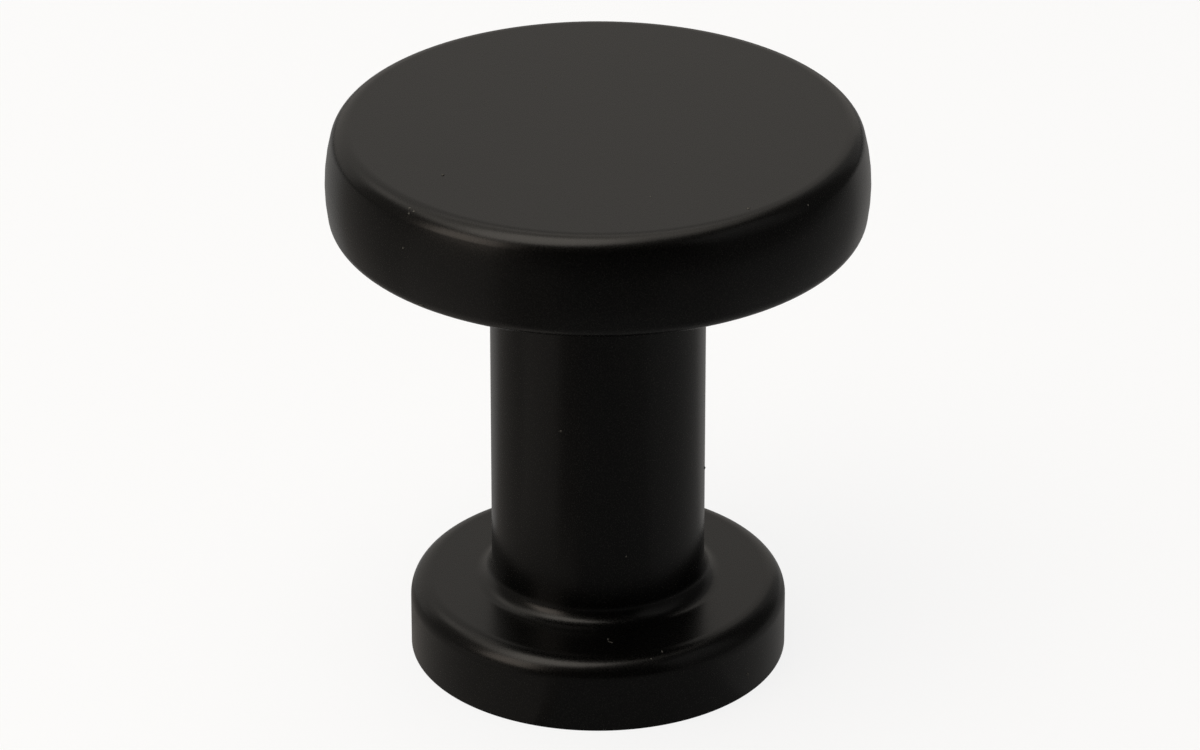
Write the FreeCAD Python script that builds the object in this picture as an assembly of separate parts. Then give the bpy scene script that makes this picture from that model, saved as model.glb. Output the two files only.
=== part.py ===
import FreeCAD, Part
import math
import os

# Round cabinet knob, cast in one piece: a disc head with a crowned side, a plain cylindrical
# stem and a round foot that stands on the drawer front, with a tapped blind hole for the screw.
# Millimetres. The origin is the centre of the foot's underside and +Z runs along the knob's axis
# to the head.

# Overall
KNOB_HEIGHT = 32.2

# Head: the side is one shallow arc between a lower and an upper corner radius
HEAD_DIAMETER = 30.0
HEAD_THICKNESS = 5.9
HEAD_SIDE_RADIUS = 10.0
WIDEST_ABOVE_UNDERSIDE = 2.5
HEAD_UPPER_CORNER = 1.15
HEAD_LOWER_CORNER = 1.0

# Stem
STEM_DIAMETER = 12.0
HEAD_FILLET = 1.25
FOOT_FILLET = 1.0

# Foot
FOOT_DIAMETER = 21.2
FOOT_THICKNESS = 4.3
FOOT_UPPER_CORNER = 1.25
FOOT_LOWER_CORNER = 0.1

# Tapped hole for an M4 screw, drawn at its tapping drill
DRILL_DIAMETER = 3.3
MOUTH_DIAMETER = 4.4
TAPPED_WALL_LENGTH = 12.0
DRILL_POINT_ANGLE = 118.0

ARC_UP = 90.0
ARC_DOWN = -90.0
ARC_OUT = 0.0
ARC_IN = 180.0


def point(radius, height):
    """A point of the half section, from its distance to the axis and its height."""
    return FreeCAD.Vector(radius, 0, height)


def arc(centre, radius, start, end):
    """An arc of the half section; angles in degrees, 0 outwards and 90 up."""
    def at(angle):
        turn = math.radians(angle)
        return centre + point(radius * math.cos(turn), radius * math.sin(turn))
    return Part.Arc(at(start), at((start + end) / 2), at(end))


def foot_outline():
    """From the mouth of the hole, round the foot and up to the stem."""
    foot = FOOT_DIAMETER / 2
    stem = STEM_DIAMETER / 2
    lower = point(foot - FOOT_LOWER_CORNER, FOOT_LOWER_CORNER)
    upper = point(foot - FOOT_UPPER_CORNER, FOOT_THICKNESS - FOOT_UPPER_CORNER)
    fillet = point(stem + FOOT_FILLET, FOOT_THICKNESS + FOOT_FILLET)
    return [
        arc(lower, FOOT_LOWER_CORNER, ARC_DOWN, ARC_OUT),
        arc(upper, FOOT_UPPER_CORNER, ARC_OUT, ARC_UP),
        arc(fillet, FOOT_FILLET, 270.0, ARC_IN),
    ]


def head_outline():
    """From the stem, along the underside and round the crowned side to the top face."""
    underside = KNOB_HEIGHT - HEAD_THICKNESS
    fillet = point(STEM_DIAMETER / 2 + HEAD_FILLET, underside - HEAD_FILLET)
    side = point(HEAD_DIAMETER / 2 - HEAD_SIDE_RADIUS, underside + WIDEST_ABOVE_UNDERSIDE)

    def corner(height, radius):
        """Centre of a corner arc tangent to the side arc, and the angle where they meet."""
        rise = height - side.z
        reach = math.sqrt((HEAD_SIDE_RADIUS - radius) ** 2 - rise ** 2)
        return point(side.x + reach, height), math.degrees(math.atan2(rise, reach))

    lower, lower_meets = corner(underside + HEAD_LOWER_CORNER, HEAD_LOWER_CORNER)
    upper, upper_meets = corner(KNOB_HEIGHT - HEAD_UPPER_CORNER, HEAD_UPPER_CORNER)
    return [
        arc(fillet, HEAD_FILLET, ARC_IN, ARC_UP),
        arc(lower, HEAD_LOWER_CORNER, ARC_DOWN, lower_meets),
        arc(side, HEAD_SIDE_RADIUS, lower_meets, upper_meets),
        arc(upper, HEAD_UPPER_CORNER, upper_meets, ARC_UP),
    ]


def hole_outline():
    """From the drill's point on the axis, down the tapped wall and out through the chamfer."""
    drill = DRILL_DIAMETER / 2
    mouth = MOUTH_DIAMETER / 2
    chamfer = mouth - drill
    wall_end = chamfer + TAPPED_WALL_LENGTH
    tip = wall_end + drill / math.tan(math.radians(DRILL_POINT_ANGLE / 2))
    return [point(0, tip), point(drill, wall_end), point(drill, chamfer), point(mouth, 0)]


def knob():
    """The whole knob, turned from its half section."""
    edges = []
    hole = hole_outline()
    here = hole[-1]
    for curve in foot_outline() + head_outline():
        if here.distanceToPoint(curve.StartPoint) > 1e-6:
            edges.append(Part.LineSegment(here, curve.StartPoint).toShape())
        edges.append(curve.toShape())
        here = curve.EndPoint
    for corner in [point(0, KNOB_HEIGHT)] + hole:
        edges.append(Part.LineSegment(here, corner).toShape())
        here = corner
    section = Part.Face(Part.Wire(edges))
    return section.revolve(FreeCAD.Vector(0, 0, 0), FreeCAD.Vector(0, 0, 1), 360)


os.makedirs("parts", exist_ok=True)
body = knob()
body.exportStep("parts/knob.step")
print("knob:", body.ShapeType, "valid", body.isValid(), "volume mm3", round(body.Volume, 1))
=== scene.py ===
"""A matt black cabinet knob on a pale floor: the coated casting with its tapped hole, the studio
light it stands in and the camera. The knob's lengths are written in millimetres and turned to
metres; the stage's are in metres."""
import math

import bpy
import bmesh
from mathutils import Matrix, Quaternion, Vector

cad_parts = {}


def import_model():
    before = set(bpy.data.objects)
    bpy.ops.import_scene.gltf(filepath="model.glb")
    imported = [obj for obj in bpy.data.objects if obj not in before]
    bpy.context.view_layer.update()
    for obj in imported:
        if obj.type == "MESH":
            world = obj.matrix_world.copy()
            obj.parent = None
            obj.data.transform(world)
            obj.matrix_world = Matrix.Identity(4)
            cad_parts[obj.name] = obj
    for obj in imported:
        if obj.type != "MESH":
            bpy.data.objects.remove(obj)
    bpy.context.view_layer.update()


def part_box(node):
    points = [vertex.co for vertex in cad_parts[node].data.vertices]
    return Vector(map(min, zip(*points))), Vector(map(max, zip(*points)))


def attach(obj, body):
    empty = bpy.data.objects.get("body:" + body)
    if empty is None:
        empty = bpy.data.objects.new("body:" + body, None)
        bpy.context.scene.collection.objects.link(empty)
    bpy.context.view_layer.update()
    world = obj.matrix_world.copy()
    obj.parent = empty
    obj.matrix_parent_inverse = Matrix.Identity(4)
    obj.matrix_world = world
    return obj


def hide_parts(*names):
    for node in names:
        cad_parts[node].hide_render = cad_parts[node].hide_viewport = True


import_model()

MM = 0.001

# Overall sizes come from the frame
_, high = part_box("knob")
KNOB_HEIGHT = high.z / MM
HEAD_RADIUS = max(high.x, high.y) / MM

# The half section's own sizes
HEAD_THICKNESS = 5.9
HEAD_SIDE_RADIUS = 10.0
WIDEST_ABOVE_UNDERSIDE = 2.5
HEAD_UPPER_CORNER = 1.15
HEAD_LOWER_CORNER = 1.0
STEM_RADIUS = 6.0
HEAD_FILLET = 1.25
FOOT_FILLET = 1.0
FOOT_RADIUS = 10.6
FOOT_THICKNESS = 4.3
FOOT_UPPER_CORNER = 1.25
FOOT_LOWER_CORNER = 0.1

# The M4 thread, cut outwards from the tapping drill's wall
DRILL_RADIUS = 1.65
MOUTH_RADIUS = 2.2
WALL_LENGTH = 12.0
DRILL_POINT_ANGLE = 118.0
THREAD_PITCH = 0.7
THREAD_MAJOR_RADIUS = 2.0
THREAD_CREST_SHARE = 0.2
THREAD_ROOT_SHARE = 0.12
THREAD_RUNOUT = 1.4

# Specks of dust and lint on the coat, where the photograph shows them: how far round from the
# side that faces the camera, in degrees, the distance to the axis and the height, then the length
# round the knob, the breadth the other way and how far it stands out
SPECKS_SEEN = [
    (-52.2, 10.55, 32.2, 0.20, 0.20, 0.070),
    (37.0, 13.3, 32.2, 0.28, 0.20, 0.050),
    (-149.2, 5.65, 32.2, 0.13, 0.16, 0.040),
    (40.0, 6.5, 32.2, 0.10, 0.12, 0.025),
    (17.0, 9.6, 32.2, 0.10, 0.12, 0.025),
    (-44.8, 14.25, 31.97, 0.12, 0.13, 0.025),
    (-44.2, 14.45, 31.78, 0.12, 0.12, 0.025),
    (-43.3, 14.3, 31.93, 0.15, 0.12, 0.025),
    (-44.2, 14.95, 29.9, 0.12, 0.12, 0.030),
    (50.8, 14.5, 31.7, 0.10, 0.08, 0.015),
    (-40.0, 14.75, 26.72, 0.50, 0.22, 0.035),
    (-20.0, 6.0, 16.22, 0.14, 0.16, 0.040),
    (15.2, 6.0, 8.42, 0.10, 0.10, 0.030),
    (84.5, 6.0, 11.24, 0.26, 0.17, 0.060),
    (52.2, 10.6, 1.33, 0.20, 0.18, 0.050),
    (4.1, 7.85, 4.3, 0.13, 0.24, 0.055),
    (4.3, 8.08, 4.3, 0.09, 0.16, 0.040),
    (4.9, 8.18, 4.3, 0.12, 0.12, 0.035),
    (5.5, 8.25, 4.3, 0.14, 0.10, 0.030),
    (17.0, 10.05, 4.1, 0.11, 0.11, 0.025),
    (21.4, 9.75, 4.24, 0.12, 0.16, 0.030),
]

# Those on the sides that the photograph doesn't show are spread evenly, at these heights
SPECKS_BEHIND = [30.0, 28.1, 20.4, 12.7, 9.3, 2.2]
SPECK_BEHIND = (0.14, 0.14, 0.035)
SPECK_STEPS = 3
SPECK_SEGMENTS = 12
SPECK_SUNK = 0.004

# The turn, in degrees, of the side that faces the camera
CAMERA_SIDE = -90.0

# The casting's materials, in the order they are put on it
COATED, BARE, DUST = 0, 1, 2

# The powder coat: the sizes of its grain, orange peel and mottle and how far the first two stand
# out, in millimetres. The matting agent's grain is about 0.1 mm; it is drawn coarser, to show
GRAIN_SIZE = 0.18
GRAIN_HEIGHT = 0.002
PEEL_SIZE = 0.9
PEEL_HEIGHT = 0.002
MOTTLE_SIZE = 3.0
COAT_SMOOTHEST, COAT_ROUGHEST = 0.24, 0.30
COAT_IOR = 1.35

# The bare metal in the hole
SCUFF_SIZE = 0.3
ZINC_SMOOTHEST, ZINC_ROUGHEST = 0.35, 0.55

# How finely the knob is meshed
SEGMENTS = 192
ARC_STEP = 5.0
LINE_STEP = 2.0
EDGE_SUPPORT = 0.05
THREAD_ROWS_PER_PITCH = 10


def linear(hex_colour):
    """An sRGB hex colour as linear RGBA."""
    def channel(value):
        return value / 12.92 if value <= 0.04045 else ((value + 0.055) / 1.055) ** 2.4
    parts = [int(hex_colour[i:i + 2], 16) / 255 for i in (1, 3, 5)]
    return (*[channel(p) for p in parts], 1.0)


def add(tree, kind, settings=None, links=None):
    """Adds one node to a tree, with its properties and inputs, and what feeds its inputs."""
    node = tree.nodes.new(kind)
    for key, value in (settings or {}).items():
        if isinstance(key, int) or key in node.inputs:
            node.inputs[key].default_value = value
        else:
            setattr(node, key, value)
    for key, socket in (links or {}).items():
        tree.links.new(socket, node.inputs[key])
    return node


def empty_material(name):
    """A material with an empty node tree."""
    material = bpy.data.materials.new(name)
    material.use_nodes = True
    material.node_tree.nodes.clear()
    return material


def per_metre(size_mm):
    """A texture's scale for features of this size."""
    return 1 / (size_mm * MM)


# The knob's form

def arc_points(centre, radius, start, end):
    """Points along an arc of the half section; angles in degrees, 0 outwards and 90 up."""
    steps = max(2, math.ceil(abs(end - start) / ARC_STEP))
    turns = [math.radians(start + (end - start) * i / steps) for i in range(steps + 1)]
    return [(centre[0] + radius * math.cos(t), centre[1] + radius * math.sin(t)) for t in turns]


def line_points(start, end):
    """Points strictly between two corners: evenly spread, with one close to each end."""
    length = math.dist(start, end)
    if length < 3 * EDGE_SUPPORT:
        return []
    steps = max(1, math.ceil(length / LINE_STEP))
    places = [EDGE_SUPPORT] + [length * i / steps for i in range(1, steps)]
    places.append(length - EDGE_SUPPORT)
    return [tuple(a + (b - a) * p / length for a, b in zip(start, end)) for p in places]


def outer_section():
    """The coated outside, from the hole's mouth round the foot, stem and head to the top."""
    underside = KNOB_HEIGHT - HEAD_THICKNESS
    side = (HEAD_RADIUS - HEAD_SIDE_RADIUS, underside + WIDEST_ABOVE_UNDERSIDE)

    def corner(height, radius):
        """Centre of a corner arc tangent to the head's side arc, and the angle they meet at."""
        rise = height - side[1]
        reach = math.sqrt((HEAD_SIDE_RADIUS - radius) ** 2 - rise ** 2)
        return (side[0] + reach, height), math.degrees(math.atan2(rise, reach))

    lower, lower_meets = corner(underside + HEAD_LOWER_CORNER, HEAD_LOWER_CORNER)
    upper, upper_meets = corner(KNOB_HEIGHT - HEAD_UPPER_CORNER, HEAD_UPPER_CORNER)
    foot_low = (FOOT_RADIUS - FOOT_LOWER_CORNER, FOOT_LOWER_CORNER)
    foot_high = (FOOT_RADIUS - FOOT_UPPER_CORNER, FOOT_THICKNESS - FOOT_UPPER_CORNER)
    fillet_low = (STEM_RADIUS + FOOT_FILLET, FOOT_THICKNESS + FOOT_FILLET)
    fillet_high = (STEM_RADIUS + HEAD_FILLET, underside - HEAD_FILLET)
    curves = [
        [(MOUTH_RADIUS, 0.0)],
        arc_points(foot_low, FOOT_LOWER_CORNER, -90, 0),
        arc_points(foot_high, FOOT_UPPER_CORNER, 0, 90),
        arc_points(fillet_low, FOOT_FILLET, 270, 180),
        arc_points(fillet_high, HEAD_FILLET, 180, 90),
        arc_points(lower, HEAD_LOWER_CORNER, -90, lower_meets)
        + arc_points(side, HEAD_SIDE_RADIUS, lower_meets, upper_meets)[1:-1]
        + arc_points(upper, HEAD_UPPER_CORNER, upper_meets, 90),
        [(0.0, KNOB_HEIGHT)],
    ]
    points = []
    for curve in curves:
        if points:
            points += line_points(points[-1], curve[0])
        points += curve
    return points


def thread_depth(height, turn):
    """How far the thread is cut into the wall, as a flat-topped V that climbs one pitch a turn."""
    phase = (height / THREAD_PITCH - turn / (2 * math.pi)) % 1.0
    flank = (1 - THREAD_CREST_SHARE - THREAD_ROOT_SHARE) / 2
    from_root = abs(phase - 0.5) - THREAD_ROOT_SHARE / 2
    share = min(1.0, max(0.0, 1 - from_root / flank))
    left = wall_end() - height
    fade = min(1.0, max(0.0, (left - THREAD_PITCH) / THREAD_RUNOUT))
    return (THREAD_MAJOR_RADIUS - DRILL_RADIUS) * share * fade


def wall_end():
    """The height where the tapped wall meets the drill's point."""
    return MOUTH_RADIUS - DRILL_RADIUS + WALL_LENGTH


def hole_radius(height, turn):
    """The hole's radius: the mouth's chamfer, or the thread where that reaches further out."""
    return max(MOUTH_RADIUS - height, DRILL_RADIUS + thread_depth(height, turn))


def hole_rings(turns):
    """Rings of the hole from the drill's point down to the mouth, each as points in space."""
    rows = math.ceil(wall_end() / THREAD_PITCH * THREAD_ROWS_PER_PITCH)
    heights = [wall_end() * (1 - i / rows) for i in range(rows)]
    return [[(hole_radius(h, t), t, h) for t in turns] for h in heights]


def surface_near(radius, height):
    """The point of the outer section nearest to this one, and the section's direction there."""
    best = None
    section = outer_section()
    for a, b in zip(section, section[1:]):
        start, along = Vector(a), Vector(b) - Vector(a)
        share = (Vector((radius, height)) - start).dot(along) / along.length_squared
        place = start + along * min(1.0, max(0.0, share))
        off = (place - Vector((radius, height))).length
        if best is None or off < best[0]:
            best = (off, place, along.normalized())
    return best[1:]


def lay_speck(bm, turn, radius, height, length, breadth, proud):
    """One speck: a small closed dome, set a little into the coat."""
    (r, h), (out, up) = surface_near(radius, height)
    c, s = math.cos(turn), math.sin(turn)
    place, around = Vector((r * c, r * s, h)), Vector((-s, c, 0))
    across, outward = Vector((out * c, out * s, up)), Vector((up * c, up * s, -out))

    def vertex(share, angle):
        rise = proud * (1 - share ** 2) - SPECK_SUNK
        flat = (around * (length * math.cos(angle)) + across * (breadth * math.sin(angle))) / 2
        return bm.verts.new((place + flat * share + outward * rise) * MM)

    top = vertex(0, 0)
    angles = [2 * math.pi * i / SPECK_SEGMENTS for i in range(SPECK_SEGMENTS)]
    shares = [k / SPECK_STEPS for k in range(1, SPECK_STEPS + 1)]
    rings = [[vertex(share, a) for a in angles] for share in shares]
    faces = [rings[-1][::-1]]
    for i in range(SPECK_SEGMENTS):
        j = (i + 1) % SPECK_SEGMENTS
        faces.append((top, rings[0][i], rings[0][j]))
        for inner, outer in zip(rings, rings[1:]):
            faces.append((inner[i], outer[i], outer[j], inner[j]))
    for corners in faces:
        face = bm.faces.new(corners)
        face.smooth = True
        face.material_index = DUST


def lay_specks(bm):
    """The specks that the photograph shows, and a few more on the other sides."""
    for turn, *speck in SPECKS_SEEN:
        lay_speck(bm, math.radians(turn + CAMERA_SIDE), *speck)
    for i, height in enumerate(SPECKS_BEHIND):
        turn = math.radians(180 * (i + 0.5) / len(SPECKS_BEHIND))
        radius = max(r for r, h in outer_section() if abs(h - height) < LINE_STEP)
        lay_speck(bm, turn, radius, height, *SPECK_BEHIND)


def knob_mesh():
    """The closed surface of the knob, one ring of points after another round its axis."""
    turns = [2 * math.pi * i / SEGMENTS for i in range(SEGMENTS)]
    inside = hole_rings(turns)
    outside = [[(r, t, h) for t in turns] for r, h in outer_section()[:-1]]
    tip = wall_end() + DRILL_RADIUS / math.tan(math.radians(DRILL_POINT_ANGLE / 2))

    bm = bmesh.new()

    def vertex(radius, turn, height):
        place = (radius * math.cos(turn), radius * math.sin(turn), height)
        return bm.verts.new(Vector(place) * MM)

    rings = [[vertex(*p) for p in ring] for ring in inside + outside]
    first, last = vertex(0, 0, tip), vertex(0, 0, KNOB_HEIGHT)
    for i in range(SEGMENTS):
        j = (i + 1) % SEGMENTS
        bm.faces.new((first, rings[0][j], rings[0][i]))
        bm.faces.new((last, rings[-1][i], rings[-1][j]))
    for k, (above, below) in enumerate(zip(rings, rings[1:])):
        for i in range(SEGMENTS):
            j = (i + 1) % SEGMENTS
            bm.faces.new((above[i], above[j], below[j], below[i]))
    bare = len(inside)
    ring_of = {v: n for n, ring in enumerate(rings) for v in ring}
    for face in bm.faces:
        face.smooth = True
        in_hole = all(ring_of.get(v, 0) < bare for v in face.verts) and last not in face.verts
        face.material_index = BARE if in_hole else COATED
    lay_specks(bm)
    mesh = bpy.data.meshes.new("knob_casting")
    bm.to_mesh(mesh)
    bm.free()
    return mesh


# Finishes

def flat_paint(name, hex_colour):
    """A dull surface of one colour."""
    material = empty_material(name)
    tree = material.node_tree
    shader = add(tree, "ShaderNodeBsdfDiffuse", {"Color": linear(hex_colour)})
    add(tree, "ShaderNodeOutputMaterial", links={"Surface": shader.outputs["BSDF"]})
    return material


def powder_coated_zinc():
    """Black polyester powder coat with a matting agent, baked on die-cast zinc. To the eye it is
    a deep neutral black that turns grey where it is seen at a low angle, with soft-edged
    highlights broken up by a fine grain and a faint orange peel."""
    material = empty_material("powder-coated zinc die casting")
    tree = material.node_tree
    place = add(tree, "ShaderNodeTexCoord").outputs["Object"]
    grain = add(tree, "ShaderNodeTexNoise",
                {"Scale": per_metre(GRAIN_SIZE), "Detail": 2.0, "Roughness": 0.6},
                {"Vector": place})
    peel = add(tree, "ShaderNodeTexNoise",
               {"Scale": per_metre(PEEL_SIZE), "Detail": 1.0, "Roughness": 0.4},
               {"Vector": place})
    mottle = add(tree, "ShaderNodeTexNoise",
                 {"Scale": per_metre(MOTTLE_SIZE), "Detail": 3.0, "Roughness": 0.5},
                 {"Vector": place})

    colour = add(tree, "ShaderNodeMix",
                 {"data_type": "RGBA", 6: linear("#050505"), 7: linear("#080807")},
                 {0: mottle.outputs["Fac"]})
    gloss = add(tree, "ShaderNodeMapRange",
                {"To Min": COAT_SMOOTHEST, "To Max": COAT_ROUGHEST},
                {"Value": grain.outputs["Fac"]})
    grain_bump = add(tree, "ShaderNodeBump", {"Strength": 1.0, "Distance": GRAIN_HEIGHT * MM},
                     {"Height": grain.outputs["Fac"]})
    peel_bump = add(tree, "ShaderNodeBump", {"Strength": 1.0, "Distance": PEEL_HEIGHT * MM},
                    {"Height": peel.outputs["Fac"], "Normal": grain_bump.outputs["Normal"]})
    shader = add(tree, "ShaderNodeBsdfPrincipled", {"IOR": COAT_IOR, "Metallic": 0.0},
                 {"Base Color": colour.outputs[2], "Roughness": gloss.outputs["Result"],
                  "Normal": peel_bump.outputs["Normal"]})
    add(tree, "ShaderNodeOutputMaterial", links={"Surface": shader.outputs["BSDF"]})
    return material


def bare_zinc():
    """Zinc alloy as the tap left it, inside the hole: a dull, lightly scuffed blue-grey metal."""
    material = empty_material("tapped bare zinc alloy")
    tree = material.node_tree
    place = add(tree, "ShaderNodeTexCoord").outputs["Object"]
    scuff = add(tree, "ShaderNodeTexNoise",
                {"Scale": per_metre(SCUFF_SIZE), "Detail": 3.0, "Roughness": 0.6},
                {"Vector": place})
    colour = add(tree, "ShaderNodeMix",
                 {"data_type": "RGBA", 6: linear("#8E9194"), 7: linear("#B1B3B5")},
                 {0: scuff.outputs["Fac"]})
    gloss = add(tree, "ShaderNodeMapRange",
                {"To Min": ZINC_SMOOTHEST, "To Max": ZINC_ROUGHEST},
                {"Value": scuff.outputs["Fac"]})
    shader = add(tree, "ShaderNodeBsdfPrincipled", {"Metallic": 1.0},
                 {"Base Color": colour.outputs[2], "Roughness": gloss.outputs["Result"]})
    add(tree, "ShaderNodeOutputMaterial", links={"Surface": shader.outputs["BSDF"]})
    return material


def grey_dust():
    """Dust and lint that has settled on the coat: dull grey, with no highlight of its own."""
    return flat_paint("grey dust and lint", "#595855")


def knob():
    """The knob itself, in place of its solid."""
    casting = bpy.data.objects.new("knob_casting", knob_mesh())
    bpy.context.scene.collection.objects.link(casting)
    for finish in (powder_coated_zinc(), bare_zinc(), grey_dust()):
        casting.data.materials.append(finish)
    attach(casting, "root")
    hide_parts("knob")


# The stage

def glowing_paper(name, tint, at_floor, per_metre_up=0.0):
    """Card or paper whose light is painted on as a glow, in place of the studio's light falling on
    it: it glows faintly at the floor and more with each metre.
    """
    material = empty_material(name)
    tree = material.node_tree
    place = add(tree, "ShaderNodeTexCoord").outputs["Object"]
    height = add(tree, "ShaderNodeSeparateXYZ", links={"Vector": place}).outputs["Z"]
    glow = add(tree, "ShaderNodeMath", {"operation": "MULTIPLY_ADD", 1: per_metre_up, 2: at_floor},
               {0: height})
    shader = add(tree, "ShaderNodeEmission", {"Color": linear(tint)},
                 {"Strength": glow.outputs[0]})
    add(tree, "ShaderNodeOutputMaterial", links={"Surface": shader.outputs["Emission"]})
    return material


def stage_piece(name, points, faces, material):
    """A flat part of the stage."""
    mesh = bpy.data.meshes.new(name)
    mesh.from_pydata([Vector(p) for p in points], [], faces)
    mesh.materials.append(material)
    thing = bpy.data.objects.new(name, mesh)
    bpy.context.scene.collection.objects.link(thing)
    return thing


def level_sheet(name, low_corner, high_corner, height, material):
    """A level rectangle."""
    (x0, y0), (x1, y1) = low_corner, high_corner
    points = [(x0, y0, height), (x1, y0, height), (x1, y1, height), (x0, y1, height)]
    return stage_piece(name, points, [(0, 1, 2, 3)], material)


def only_mirrored(thing):
    """Leaves a card to the knob's gloss: it is outside the picture and throws no shadow."""
    thing.visible_camera = False
    thing.visible_diffuse = False
    thing.visible_transmission = False
    thing.visible_shadow = False


# Lengths from here to the camera's are in metres, and brightness is radiance, where 1 is white
FLOOR = 3.0
FLOOR_WHITENED = 0.85
ROOM = 1.2
CEILING = 1.6
CEILING_CLOTH = 0.054
BLACK_CLOTH = 0.06
PAPER_OFF_CLOTH = 0.01
SECTOR_STEP = 6.0
CARD_LIFT = 0.01 * MM

CARD_TINT = "#FFFCF8"
LEFT_TINT = "#FFF7EE"
SWEEP_TINT = "#FFF9F1"
BOX_TINT = "#FFF7EC"
STRIP_TINT = "#FFF0E1"

# The cards, whose glow is painted light: how far each reaches, from which angle to which, and how
# bright it is. A later card lies on the earlier ones
CARDS = [
    (0.25, 126, 234, 0.36),
    (0.30, -127, -80, 0.24),
    (0.30, -81, -38, 0.37),
    (0.30, -39, -14, 0.16),
    (0.15, 23, 51, 0.17),
    (0.15, 50, 127, 0.21),
    (0.15, -15, 24, 0.11),
    (0.055, -16, 25, 0.16),
    (0.055, 52, 128, 0.235),
    (0.022, -95, -45, 0.27),
    (0.022, -46, -20, 0.29),
]

# The upright sheets, whose glow is painted light: where each starts and ends on the floor, its
# top, its tint, how bright it is at the floor and how much brighter with each metre up
SHEETS = {
    "front_cloth": ((-ROOM, -ROOM), (ROOM, -ROOM), CEILING, CARD_TINT, 0.006, 0.0),
    "left_cloth": ((-ROOM, -ROOM), (-ROOM, ROOM), CEILING, LEFT_TINT, 0.19, 0.0),
    "right_cloth": ((ROOM, -ROOM), (ROOM, ROOM), CEILING, CARD_TINT, 0.08, 0.0),
    "right_paper": ((ROOM - PAPER_OFF_CLOTH, -ROOM), (ROOM - PAPER_OFF_CLOTH, 0.10), CEILING,
                    CARD_TINT, 0.10, 0.20),
    "back_cloth": ((-ROOM, ROOM), (ROOM, ROOM), CEILING, CARD_TINT, 0.26, 0.0),
    "paper_sweep": ((-1.0, 0.6), (0.32, 0.6), 1.2, SWEEP_TINT, 0.45, 0.30),
}

# The lamps overhead: the middle of each, its width and depth, how bright its face is, its shape
# and how many degrees it is turned. No two are level, or one would hide the other
OVERHEAD = {
    "overhead_box": ((-0.13, 0.005, 0.5), 0.87, 0.58, 0.95, "ELLIPSE", 42),
    "overhead_bulb": ((-0.160, -0.15, 0.496), 0.50, 0.36, 2.35, "ELLIPSE", 40),
    "overhead_patch": ((0.08, 0.08, 0.508), 0.22, 0.18, 0.8, "ELLIPSE", 45),
    "overhead_wing": ((-0.435, -0.015, 0.504), 0.24, 0.98, 0.74, "RECTANGLE", 0),
}

# The strip close to the knob
STRIP_PLACE = (-0.120, -0.084, 0.080)
STRIP_WIDTH, STRIP_HEIGHT = 0.082, 0.084
STRIP_BRIGHTNESS = 2.75


def pale_floor():
    """White card, shown nearer to white than its lamps make it, with the shadow left on it."""
    material = flat_paint("pale floor", "#F8F8F7")
    tree = material.node_tree
    out = tree.nodes["Material Output"]
    card = out.inputs["Surface"].links[0].from_socket
    path = add(tree, "ShaderNodeLightPath")
    seen = add(tree, "ShaderNodeMath", {"operation": "ADD"},
               {0: path.outputs["Is Camera Ray"], 1: path.outputs["Is Glossy Ray"]})
    through = add(tree, "ShaderNodeMath", {"operation": "ADD"},
                  {0: seen.outputs[0], 1: path.outputs["Is Transmission Ray"]})
    share = add(tree, "ShaderNodeMath", {"operation": "MULTIPLY", 1: FLOOR_WHITENED},
                {0: through.outputs[0]})
    white = add(tree, "ShaderNodeEmission", {"Color": linear("#FFFFFF"), "Strength": 1.0})
    shown = add(tree, "ShaderNodeMixShader", links={0: share.outputs[0], 1: card,
                                                    2: white.outputs["Emission"]})
    tree.links.new(shown.outputs[0], out.inputs["Surface"])
    return material


def floor():
    """The pale floor that the knob stands on."""
    level_sheet("floor", (-FLOOR, -FLOOR), (FLOOR, FLOOR), 0, pale_floor())


def sector(reach, start, end, height, radiance, tint):
    """A level card that glows evenly, seen only in the gloss: a sector round the knob's axis,
    with its angles in degrees from the side that faces the camera."""
    steps = max(2, math.ceil((end - start) / SECTOR_STEP))
    angles = [math.radians(start + (end - start) * i / steps) for i in range(steps + 1)]
    points = [(0, 0, height)]
    points += [(reach * math.sin(a), -reach * math.cos(a), height) for a in angles]
    faces = [(0, i, i + 1) for i in range(1, steps + 1)]
    card = stage_piece(f"card_{start}", points, faces, glowing_paper("grey card", tint, radiance))
    only_mirrored(card)


def cards():
    """What the gloss picks up from below: grey cards round the knob on black cloth, all glowing
    with painted light, brighter on the left and at the back. Each lies a little higher than the
    one before."""
    only_mirrored(level_sheet("black_cloth", (-ROOM, -ROOM), (ROOM, ROOM), CARD_LIFT,
                              glowing_paper("black cloth", CARD_TINT, BLACK_CLOTH)))
    for i, (reach, start, end, radiance) in enumerate(CARDS):
        tint = LEFT_TINT if end < 0 else CARD_TINT
        sector(reach, start, end, CARD_LIFT * (i + 2), radiance, tint)


def sheet(name, start, end, top, tint, at_floor, per_metre_up):
    """An upright glowing sheet between two points of the floor. The camera sees through it."""
    (x0, y0), (x1, y1) = start, end
    points = [(x0, y0, 0), (x1, y1, 0), (x1, y1, top), (x0, y0, top)]
    thing = stage_piece(name, points, [(0, 1, 2, 3)],
                        glowing_paper(name.replace("_", " "), tint, at_floor, per_metre_up))
    thing.visible_camera = False


def room():
    """Cloth all round and overhead, and paper behind the knob and on its right, all glowing with
    painted light in place of lamps on them, the cloth darkest in front."""
    for name, place in SHEETS.items():
        sheet(name, *place)
    ceiling = level_sheet("ceiling_cloth", (-ROOM, -ROOM), (ROOM, ROOM), CEILING,
                          glowing_paper("ceiling cloth", CARD_TINT, CEILING_CLOTH))
    ceiling.visible_camera = False


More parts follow.
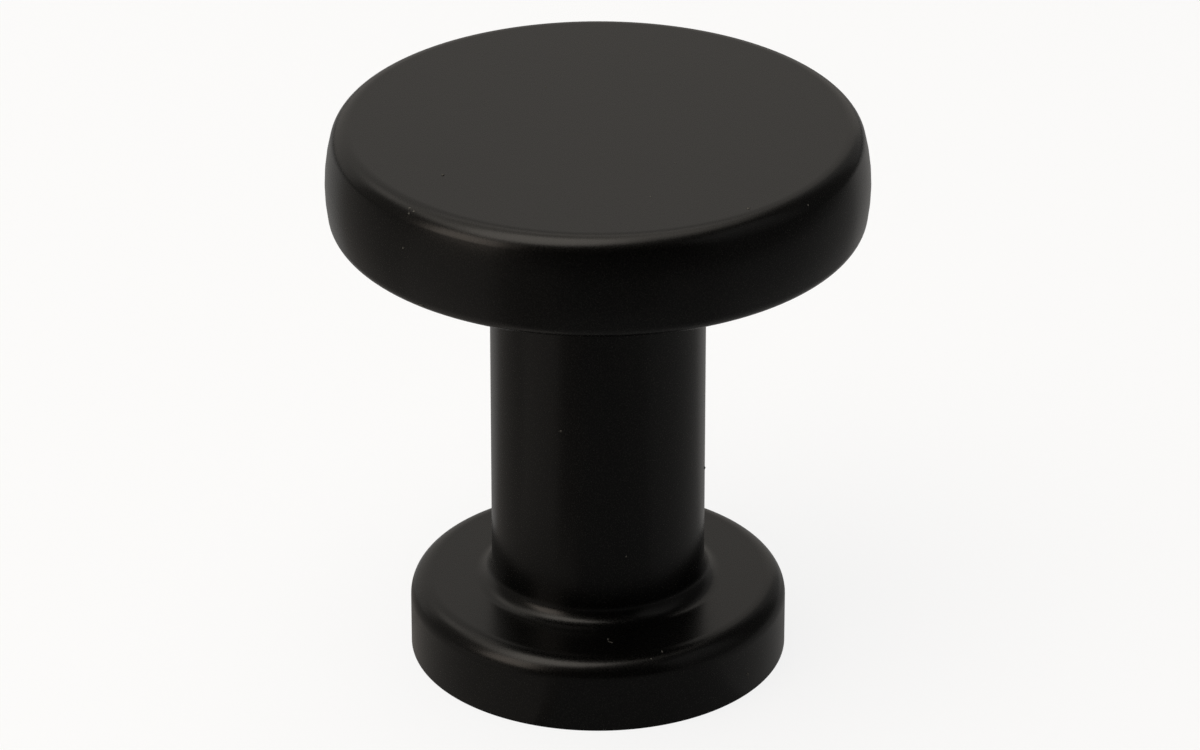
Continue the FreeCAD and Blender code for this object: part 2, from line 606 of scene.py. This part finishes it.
def softbox(name, place, aim, width, height, radiance, tint, shape="RECTANGLE", roll=0):
    """A flat lamp, whose power gives its face this radiance; roll turns it in its plane."""
    lamp = bpy.data.lights.new(name, "AREA")
    lamp.shape = shape
    lamp.size, lamp.size_y = width, height
    lamp.color = linear(tint)[:3]
    area = width * height * (math.pi / 4 if shape == "ELLIPSE" else 1)
    lamp.energy = radiance * math.pi * area
    thing = bpy.data.objects.new(name, lamp)
    thing.location = place
    thing.rotation_mode = "QUATERNION"
    facing = (Vector(aim) - Vector(place)).to_track_quat("-Z", "Y")
    thing.rotation_quaternion = facing @ Quaternion((0, 0, 1), math.radians(roll))
    thing.visible_camera = False
    bpy.context.scene.collection.objects.link(thing)
    return thing


def lights():
    """A large oval box overhead on the left, brightest at its front, with a patch at its back
    right and a wing on its left; and a small strip close to the knob, left of the front, for its
    gloss alone."""
    for name, (place, width, depth, radiance, shape, roll) in OVERHEAD.items():
        x, y, _ = place
        softbox(name, place, (x, y, 0), width, depth, radiance, BOX_TINT, shape, roll)
    strip = softbox("left_strip", STRIP_PLACE, (0, 0, STRIP_PLACE[2]), STRIP_WIDTH, STRIP_HEIGHT,
                    STRIP_BRIGHTNESS, STRIP_TINT)
    strip.visible_diffuse = False


# The camera stands where the photograph's did. The view was worked out in the photograph's
# 1200 by 750 frame: how far down the camera looks, in degrees, its distance in millimetres to the
# point it looks at on the knob's axis, and how many pixels a millimetre takes there
PHOTO_WIDTH = 1200
LOOK_DOWN = 27.16
DISTANCE = 360.5
LOOK_AT_HEIGHT = 16.79
PIXELS_PER_MM = 17.938
AXIS_COLUMN = 598
SENSOR = 36.0

# What is nearer to the camera or further from it than this, in metres, isn't drawn
NEAREST, FURTHEST = 0.01, 10


def camera():
    """The photograph's view."""
    data = bpy.data.cameras.new("camera")
    data.sensor_width = SENSOR
    data.lens = SENSOR * PIXELS_PER_MM * DISTANCE / PHOTO_WIDTH
    data.clip_start, data.clip_end = NEAREST, FURTHEST
    thing = bpy.data.objects.new("camera", data)
    turn = math.radians(LOOK_DOWN)
    aside = (PHOTO_WIDTH / 2 - AXIS_COLUMN) / PIXELS_PER_MM
    thing.location = Vector((aside, -DISTANCE * math.cos(turn),
                             LOOK_AT_HEIGHT + DISTANCE * math.sin(turn))) * MM
    thing.rotation_euler = (math.pi / 2 - turn, 0, 0)
    bpy.context.scene.collection.objects.link(thing)
    bpy.context.scene.camera = thing


def world():
    """White past the floor's edge, which only the camera sees, through the room's cloth."""
    sky = bpy.data.worlds.new("white")
    sky.use_nodes = True
    tree = sky.node_tree
    tree.nodes.clear()
    light = add(tree, "ShaderNodeBackground", {"Color": linear("#FFFFFF"), "Strength": 1.0})
    add(tree, "ShaderNodeOutputWorld", links={"Surface": light.outputs["Background"]})
    bpy.context.scene.world = sky


knob()
floor()
cards()
room()
lights()
camera()
world()
bpy.context.scene.view_settings.view_transform = "Standard"
